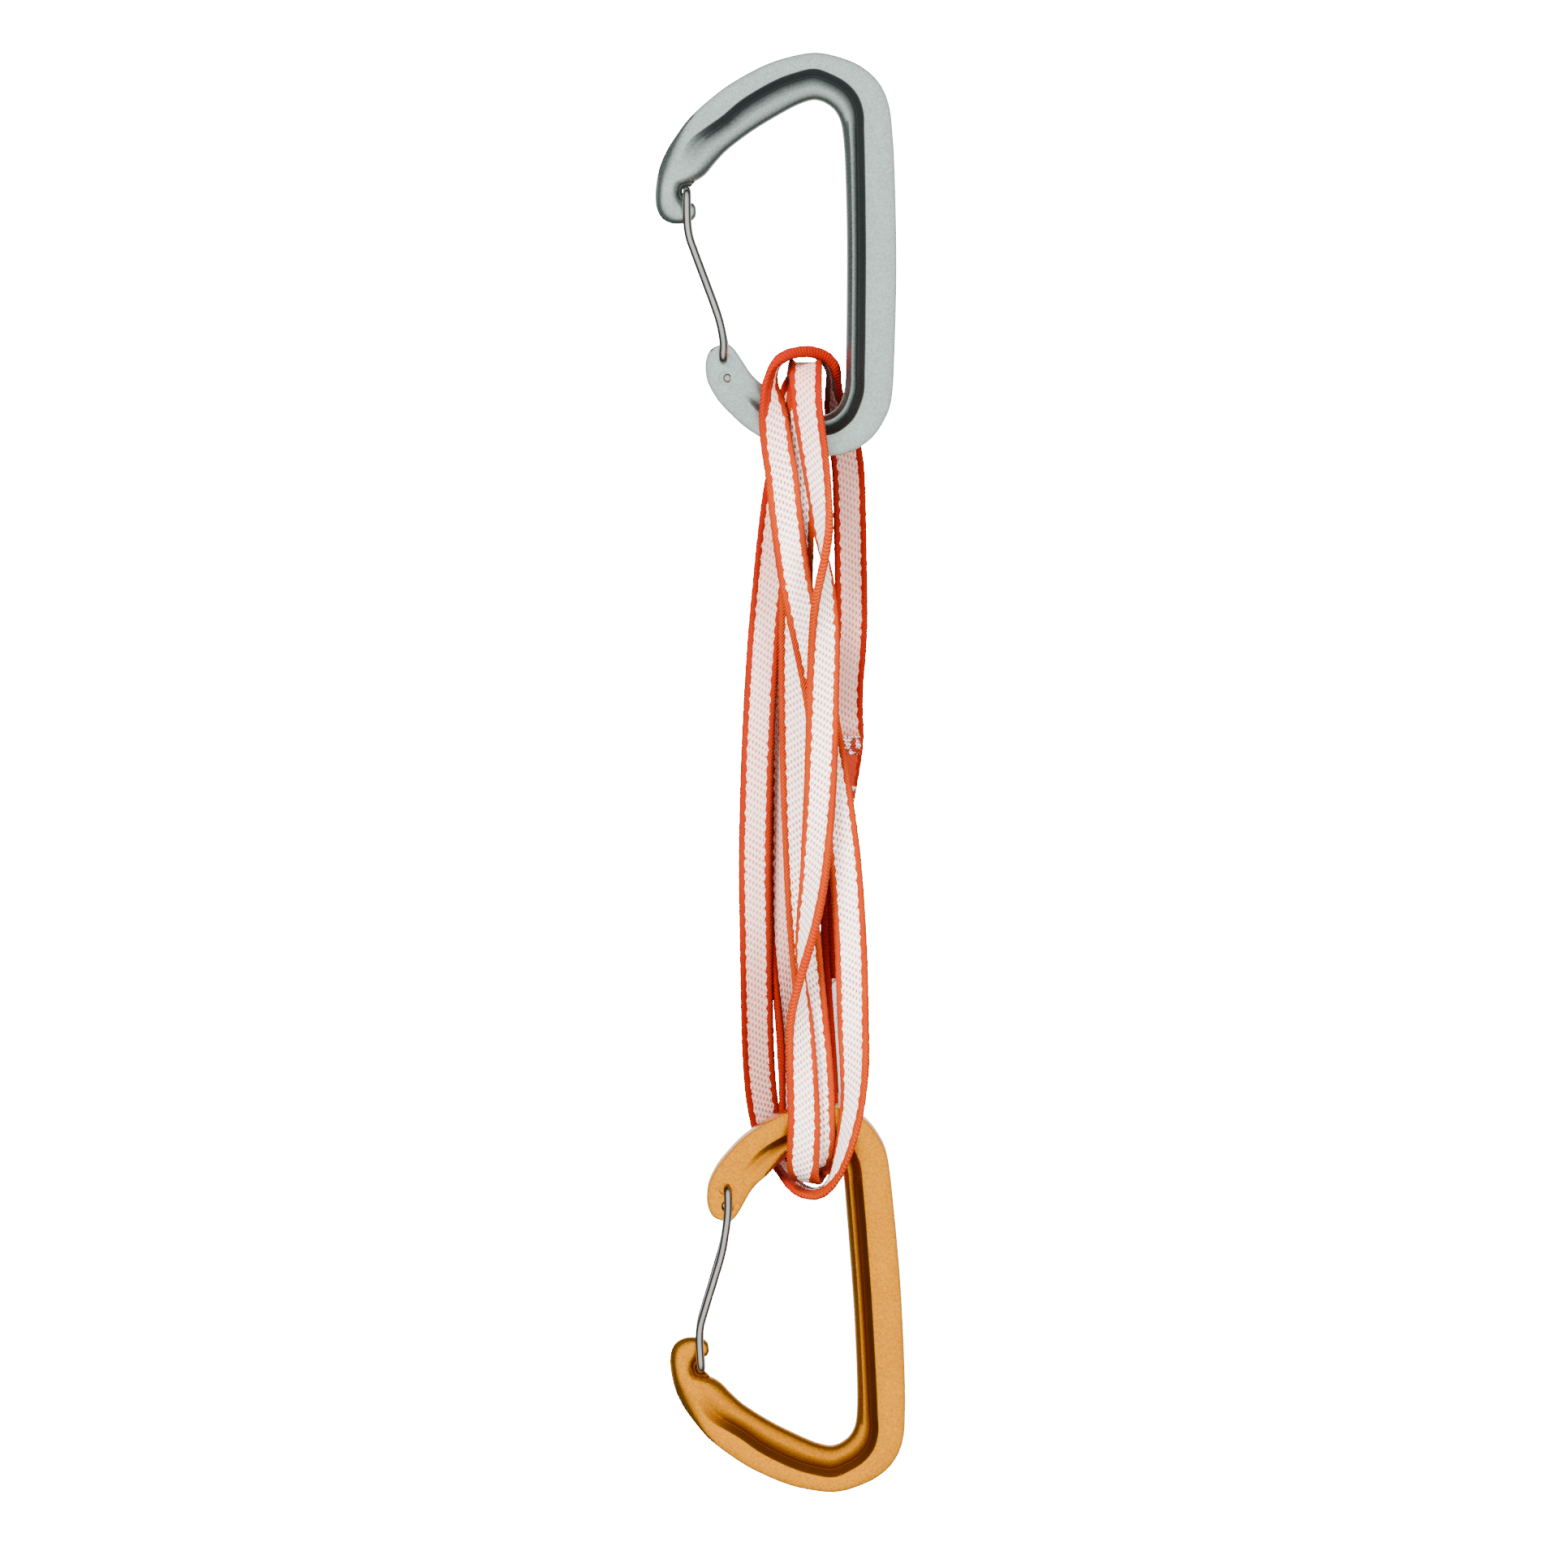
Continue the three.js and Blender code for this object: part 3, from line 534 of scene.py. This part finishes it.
BOTTOM_REAR_LEFT_TO_FRONT = [
  [-12.4, 2.0, -137, 720], [-13.1, 1.9, -149, 720], [-13.7, 1.8, -164, 720], [-14.1, 1.9, -184, 720],
  [-13.9, 2.6, -202, 720], [-13.6, 4.6, -221, 720], [-13.3, 6.8, -232, 722], [-12.8, 8.7, -240, 726],
  [-12.0, 10.3, -246.5, 736], [-10.9, 11.6, -252, 752], [-9.2, 11.0, -257, 772], [-7.0, 8.4, -261, 790],
  [-4.2, 4.4, -263.8, 800], [-1.0, 0.0, -264.7, 806], [2.2, -3.3, -263.6, 812], [4.8, -6.5, -260.2, 820],
  [6.9, -9.0, -254.6, 832], [8.5, -10.0, -248, 844], [9.7, -9.7, -241, 854], [10.1, -8.8, -232, 868],
  [9.8, -7.8, -222, 880], [9.5, -6.7, -211, 887], [9.1, -5.9, -201, 892], [7.9, -5.2, -184, 898],
  [6.4, -4.8, -172, 900], [4.9, -4.6, -162, 900], [2.9, -4.6, -151, 900], [0.6, -4.8, -137, 900],
]
SEAM_TOP = -149.0
SEAM_END = -212.0
LIFT = 2.0
LIFT_RUN = 14
TAIL_LENGTH = 75


def meet(first, second):
    """Joins two strands that both run a little past mid height."""
    crossing = [(a + b) / 2 for a, b in zip(first[-1], second[0])]
    return first[:-1] + [crossing] + second[1:]


strip = meet(BOTTOM_SEWN_TO_CENTRE[1:], TOP_CENTRE_TO_REAR)
strip = meet(strip, BOTTOM_REAR_TO_INNER)
strip = meet(strip, TOP_INNER_TO_REAR_LEFT)
strip = meet(strip, BOTTOM_REAR_LEFT_TO_FRONT)
strip = meet(strip, TOP_FRONT_TO_REAR_RIGHT)
sewn_rows = [[*r[:3], r[3] + 900] for r in BOTTOM_SEWN_TO_CENTRE[:10]]
strip = meet(strip, sewn_rows)
strip = smooth_rows(strip, lambda a, b: max(2, int(np.linalg.norm(b[:3] - a[:3]) / 1.0)))
first = next(i for i, r in enumerate(strip) if r[2] <= SEAM_TOP)
strip = strip[first:]
last = max(i for i, r in enumerate(strip) if r[2] >= SEAM_END)
strip = strip[:last + 1]


def strip_frames(rows):
    centre = rows[:, :3]
    along = np.gradient(centre, axis=0)
    along /= np.linalg.norm(along, axis=1)[:, None]
    turn = np.radians(rows[:, 3])
    across = np.stack([np.cos(turn), np.sin(turn), np.zeros(len(rows))], 1)
    across -= along * np.sum(across * along, 1)[:, None]
    across /= np.linalg.norm(across, axis=1)[:, None]
    return centre, along, across, np.cross(along, across)


centre, _, across, face = strip_frames(strip)
run = np.concatenate([[0], np.cumsum(np.linalg.norm(np.diff(centre, axis=0), axis=1))])
# The closing end comes round half a turn over, and lies on the base layer once it is there.
rise = np.clip((run - (run[-1] - TAIL_LENGTH)) / LIFT_RUN, 0, 1)
lift = LIFT * rise ** 2 * (3 - 2 * rise)
centre = centre + face * lift[:, None]

ACROSS = [-4.0, -3.93, -3.7, -3.35, -3.0, -2.7, -2.4, -2.0, -1.5, -1.0, -0.5, 0.0]
THICK = [0.0, 0.38, 0.7, 0.85, 0.83, 0.74, 0.68, 0.68, 0.7, 0.7, 0.7, 0.7]
half = list(zip(ACROSS, THICK))
upper = half + [(-u, n) for u, n in reversed(half[:-1])]


def ease(values, start, reach):
    """0 before start and 1 once past it by reach; a negative reach runs the other way."""
    return np.clip((values - start) / reach, 0, 1)


# The tubular edges fill out where nothing presses on them, most of all at the loose crests.
depth = centre[:, 2]
mid_length = ease(depth, -96, -6) * ease(depth, -238, 6)
plump = -0.14 + 0.74 * ease(depth, -66, 3) + 0.44 * mid_length + 0.14 * ease(depth, -263, -3)
section = upper + [(u, -n) for u, n in reversed(upper[1:-1])]
across_uv = [u for u, _ in section] + [section[0][0]]
wobble = 0.05 * np.sin(run * 2 * math.pi / 3.0)
rings = []
for i in range(len(centre)):
    ring = []
    for u, n in section:
        edge = min(1.0, max(0.0, (abs(u) - 2.0) / 1.0))
        swell = 1 + edge * (wobble[i] + plump[i])
        ripple = 1 + 0.012 * edge * math.sin(run[i] * 2.1)
        ring.append(centre[i] + across[i] * u * ripple + face[i] * n * swell)
    rings.append(ring)
sling = skin("sling_visual", rings, (across_uv, run))
# Each point knows how deep in the bundle or how near the bar it lies, where the web is painted
# darker and redder as shade with orange light bounced into it, whether it is in the sewn joint,
# and whether it turns over a bar.
deep = np.clip(ease(centre[:, 1], -2.0, 6.0) + 0.9 * ease(depth, -92, 26), 0, 1)
JOINT_LENGTH = 62
joined = np.maximum(ease(run, JOINT_LENGTH, -4), ease(run, run[-1] - JOINT_LENGTH, 4))
crest = ease(depth, -76, 8) * (run > run[-1] * 0.65) + ease(depth, -257, -6)
for measure, values in (("deep", deep), ("joined", joined), ("crest", crest)):
    layer = sling.data.attributes.new(measure, "FLOAT", "POINT")
    each_point = np.concatenate([np.repeat(values, len(section)), values[:1], values[-1:]])
    layer.data.foreach_set("value", [float(v) for v in each_point])

web, nodes, links, bsdf = shader("woven_web")
uv = nodes.new("ShaderNodeUVMap")
uv.uv_map = "weave"
axes = nodes.new("ShaderNodeSeparateXYZ")
links.new(uv.outputs[0], axes.inputs[0])
U, V = axes.outputs[0], axes.outputs[1]


def calc(kind, a, b=None, c=None):
    return math_node(nodes, links, kind, a, b, c)


def held(name):
    node = nodes.new("ShaderNodeAttribute")
    node.attribute_name = name
    return node.outputs["Fac"]


place = nodes.new("ShaderNodeTexCoord").outputs["Object"]
fuzz = noise(nodes, links, place, 1500, 4)
patch = noise(nodes, links, place, 90, 2)
absu = calc("ABSOLUTE", U)
# Orange edges meet the cream body in a scalloped line.
scallop = calc("MULTIPLY", calc("SINE", calc("MULTIPLY", V, 2 * math.pi / 3.1)), 0.13)
ragged = calc("MULTIPLY", calc("SUBTRACT", fuzz, 0.5), 0.8)
border = calc("ADD", calc("ADD", calc("MULTIPLY_ADD", held("crest"), -1.9, 2.42), scallop), ragged)
is_edge = calc("GREATER_THAN", absu, border)
# Body: columns of short raised stitches, each column half a stitch from its neighbour.
COLUMN = 0.8
STITCH = 1.7
column = calc("FLOOR", calc("DIVIDE", U, COLUMN))
offset = calc("MULTIPLY", calc("FLOORED_MODULO", column, 2.0), STITCH / 2)
slant = calc("MULTIPLY", U, 0.5)
stitch = calc("FLOORED_MODULO", calc("DIVIDE", calc("ADD", calc("ADD", V, slant), offset), STITCH), 1.0)
dot = calc("LESS_THAN", stitch, 0.5)
within = calc("ABSOLUTE", calc("SUBTRACT", calc("FLOORED_MODULO", calc("DIVIDE", U, COLUMN), 1.0), 0.5))
ridge = calc("SUBTRACT", 1.0, calc("MULTIPLY", within, 1.6))
# Painted shade: the grooves between the stitch columns are coloured darker.
groove_shade = calc("MULTIPLY", calc("GREATER_THAN", within, 0.37), 0.55)
dots = calc("MULTIPLY", calc("MULTIPLY", dot, calc("LESS_THAN", within, 0.24)),
            calc("MULTIPLY_ADD", patch, 0.8, 0.5))
# Painted shade: strands deep in the bundle and near the top bar turn darker and redder.
shaded = calc("MULTIPLY", held("deep"), 0.85)
body = mix_colour(nodes, links, shaded, (0.97, 0.84, 0.77), (0.5, 0.22, 0.17))
body = mix_colour(nodes, links, dots, body, (0.36, 0.09, 0.06))
body = mix_colour(nodes, links, groove_shade, body, (0.58, 0.3, 0.25))
body = mix_colour(nodes, links, calc("MULTIPLY", held("joined"), 0.97), body, (0.27, 0.012, 0.0))
# Edges: fine twill lines in two oranges.
twill = calc("FLOORED_MODULO", calc("DIVIDE", calc("ADD", V, calc("MULTIPLY", absu, 1.3)), 0.9), 1.0)
twill_line = calc("MULTIPLY", calc("LESS_THAN", twill, 0.28), 0.5)
rim = mix_colour(nodes, links, calc("MULTIPLY_ADD", patch, 1.2, -0.1), (0.24, 0.012, 0.0), (0.31, 0.034, 0.0))
# The same painted shade deepens the orange edges there.
rim = mix_colour(nodes, links, shaded, rim, (0.17, 0.001, 0.0))
rim = mix_colour(nodes, links, twill_line, rim, (0.14, 0.0, 0.0))
links.new(mix_colour(nodes, links, is_edge, body, rim), bsdf.inputs["Base Color"])
bsdf.inputs["Roughness"].default_value = 0.75
bsdf.inputs["Specular IOR Level"].default_value = 0.15
bsdf.inputs["Subsurface Weight"].default_value = 0.05
bsdf.inputs["Subsurface Radius"].default_value = (0.002, 0.0008, 0.0005)
stitch_wave = calc("SINE", calc("MULTIPLY", stitch, 2 * math.pi))
twill_wave = calc("SINE", calc("MULTIPLY", twill, 2 * math.pi))
relief = calc("ADD", calc("MULTIPLY", ridge, 0.6), calc("MULTIPLY", stitch_wave, 0.35))
relief = calc("ADD", calc("MULTIPLY", relief, calc("SUBTRACT", 1.0, is_edge)),
           calc("MULTIPLY", twill_wave, calc("MULTIPLY", is_edge, 0.35)))
relief = calc("ADD", relief, calc("MULTIPLY", fuzz, 0.4))
bump = nodes.new("ShaderNodeBump")
bump.inputs["Strength"].default_value = 0.9
bump.inputs["Distance"].default_value = 0.00018
links.new(relief, bump.inputs["Height"])
links.new(bump.outputs[0], bsdf.inputs["Normal"])
sling.data.materials.append(web)
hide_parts(*[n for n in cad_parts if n.startswith("sling_") and n != "sling_label"])

# ---------------------------------------------------------------- bar tacks and label
# Dense zigzag stitching holds the overlap, and a small plain tag is sewn on below it.
base_centre, base_along, base_across, base_face = strip_frames(
    smooth_rows(BOTTOM_SEWN_TO_CENTRE[:13], lambda a, b: 20))


def on_joint(z, u, height):
    i = int(np.argmin(np.abs(base_centre[:, 2] - z)))
    spot = base_centre[i] + base_across[i] * u - base_face[i] * height
    return spot, base_across[i], base_along[i], base_face[i]


def stitch_material():
    material, nodes, links, bsdf = shader("tack_thread")
    place = nodes.new("ShaderNodeTexCoord").outputs["Object"]
    # Red thread with pale threads of the web pulled up through it.
    flecks = math_node(nodes, links, "GREATER_THAN", noise(nodes, links, place, 620, 3), 0.53)
    links.new(mix_colour(nodes, links, flecks, (0.26, 0.02, 0.008), (0.86, 0.76, 0.7)),
              bsdf.inputs["Base Color"])
    bsdf.inputs["Roughness"].default_value = 0.6
    return material


thread = stitch_material()


def tack(name, z_top):
    points = bpy.data.meshes.new(name + "_points")
    spots, turns = [], []
    for height in (3.0, -0.95):
        for row in range(9):
            z = z_top - 0.5 * row
            p, ac, al, _ = on_joint(z, 0, height)
            lean = 28 if row % 2 else -28
            for k in range(6):
                u = -2.5 + k + (0.25 if row % 2 else -0.25)
                spots.append(tuple((p + ac * u) * MM))
                basis = Matrix((Vector(ac), Vector(al), Vector(ac).cross(Vector(al)))).transposed()
                turns.append((basis @ Matrix.Rotation(math.radians(lean), 3, "Z")).to_euler())
    points.from_pydata(spots, [], [])
    turn_attr = points.attributes.new("turn", "FLOAT_VECTOR", "POINT")
    turn_attr.data.foreach_set("vector", [c for t in turns for c in t])
    piece = bpy.data.objects.new(name, points)
    bpy.context.collection.objects.link(piece)
    group = bpy.data.node_groups.new(name + "_nodes", "GeometryNodeTree")
    group.interface.new_socket("Geometry", in_out="INPUT", socket_type="NodeSocketGeometry")
    group.interface.new_socket("Geometry", in_out="OUTPUT", socket_type="NodeSocketGeometry")
    g_in, g_out = group.nodes.new("NodeGroupInput"), group.nodes.new("NodeGroupOutput")
    strand = group.nodes.new("GeometryNodeMeshUVSphere")
    strand.inputs["Segments"].default_value = 8
    strand.inputs["Rings"].default_value = 6
    strand.inputs["Radius"].default_value = 1.0
    shape = group.nodes.new("GeometryNodeTransform")
    shape.inputs["Scale"].default_value = (0.62 * MM, 0.2 * MM, 0.18 * MM)
    spread = group.nodes.new("GeometryNodeInstanceOnPoints")
    turn = group.nodes.new("GeometryNodeInputNamedAttribute")
    turn.data_type = "FLOAT_VECTOR"
    turn.inputs["Name"].default_value = "turn"
    rotate = group.nodes.new("FunctionNodeEulerToRotation")
    real = group.nodes.new("GeometryNodeRealizeInstances")
    dress = group.nodes.new("GeometryNodeSetMaterial")
    dress.inputs["Material"].default_value = thread
    group.links.new(g_in.outputs[0], spread.inputs["Points"])
    group.links.new(strand.outputs["Mesh"], shape.inputs["Geometry"])
    group.links.new(shape.outputs[0], spread.inputs["Instance"])
    group.links.new(turn.outputs["Attribute"], rotate.inputs[0])
    group.links.new(rotate.outputs[0], spread.inputs["Rotation"])
    group.links.new(spread.outputs[0], real.inputs[0])
    group.links.new(real.outputs[0], dress.inputs["Geometry"])
    group.links.new(dress.outputs[0], g_out.inputs[0])
    modifier = piece.modifiers.new("stitches", "NODES")
    modifier.node_group = group
    depsgraph = bpy.context.evaluated_depsgraph_get()
    made = bpy.data.meshes.new_from_object(piece.evaluated_get(depsgraph))
    piece.modifiers.clear()
    piece.data = made
    made.shade_smooth()
    return piece


tacks = []
for number, z_top in enumerate((-153, -165, -187, -206), 1):
    piece = tack(f"bar_tack_visual_{number}", z_top)
    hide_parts(f"bar_tack_{number}")
    tacks.append(piece)

LABEL_TOP = -213.6
LABEL_END = -241.0
LABEL_HALF = 3.5
label_rings, label_run = [], []
for z in np.linspace(LABEL_TOP, LABEL_END, 56):
    p, ac, _, fa = on_joint(z, 0, 1.12)
    # The two end rows are a little narrower, which rounds the corners.
    w = LABEL_HALF - 0.25 * (abs(z + 227.3) > 13.3)
    outline = [(-w, 0.0), (-w + 0.15, 0.17), (-2, 0.2), (0, 0.2), (2, 0.2), (w - 0.15, 0.17),
               (w, 0.0), (w - 0.15, -0.17), (2, -0.2), (0, -0.2), (-2, -0.2), (-w + 0.15, -0.17)]
    label_rings.append([p + ac * u + fa * n for u, n in outline])
    label_run.append(LABEL_TOP - z)
outline_u = [o[0] for o in outline] + [outline[0][0]]
label = skin("label_visual", label_rings, (outline_u, label_run))
tag, nodes, links, bsdf = shader("plain_tag")
uv = nodes.new("ShaderNodeUVMap")
uv.uv_map = "weave"
axes = nodes.new("ShaderNodeSeparateXYZ")
links.new(uv.outputs[0], axes.inputs[0])
U, V = axes.outputs[0], axes.outputs[1]
place = nodes.new("ShaderNodeTexCoord").outputs["Object"]
cloth = noise(nodes, links, place, 2200, 3)
base = mix_colour(nodes, links, cloth, (0.42, 0.37, 0.41), (0.66, 0.61, 0.65))
# Plain ruled bars across the tag, with nothing written on it.
bars = 0.0
for start, stop in ((5.2, 5.6), (8.6, 9.0), (12.0, 12.4), (17.0, 17.4), (20.5, 20.9), (24.0, 24.4)):
    bar = calc("MULTIPLY", calc("GREATER_THAN", V, start), calc("LESS_THAN", V, stop))
    bars = calc("ADD", bars, bar)
bars = calc("MULTIPLY", calc("MULTIPLY", bars, calc("LESS_THAN", calc("ABSOLUTE", U), 2.6)), 0.75)
links.new(mix_colour(nodes, links, bars, base, (0.07, 0.055, 0.06)), bsdf.inputs["Base Color"])
bsdf.inputs["Roughness"].default_value = 0.5
label.data.materials.append(tag)
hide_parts("sling_label")

for piece in [sling, label, *tacks]:
    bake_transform(piece)
